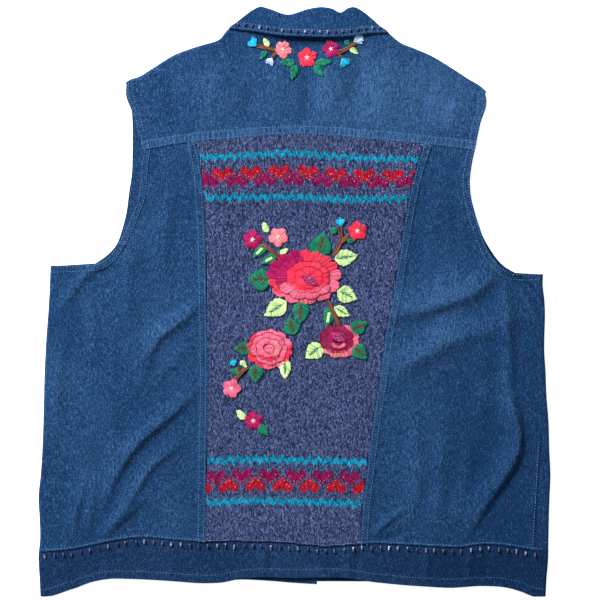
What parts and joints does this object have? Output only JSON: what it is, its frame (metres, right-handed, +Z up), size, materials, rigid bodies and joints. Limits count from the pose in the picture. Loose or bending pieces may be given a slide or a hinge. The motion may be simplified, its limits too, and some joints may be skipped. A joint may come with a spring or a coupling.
{
  "type": "denim vest",
  "caption": "Sleeveless denim vest laid flat with its back up, with a yoke, a knitted centre panel, a folded collar and a waistband.",
  "frame": {"origin": "centre of the outline, on the surface that the vest lies on", "axes": "+Z up out of the vest's back, +Y from the waistband to the collar, +X to the right as seen from above"},
  "size_m": [0.6155, 0.7085, 0.013],
  "materials": {
    "denim": "matte",
    "band_denim": "matte",
    "knit": "matte",
    "embroidery": "satin",
    "sewing_thread": "matte",
    "glass_beads": "gloss"
  },
  "bodies": {
    "root": {"back_yoke": "denim", "back_centre": "knit", "back_side_left": "denim", "back_side_right": "denim", "back_band": "band_denim", "collar": "denim", "collar_leaf_left": "denim", "collar_leaf_right": "denim", "front_left": "denim", "front_right": "denim", "front_band_left": "band_denim", "front_band_right": "band_denim"}
  },
  "joints": []
}
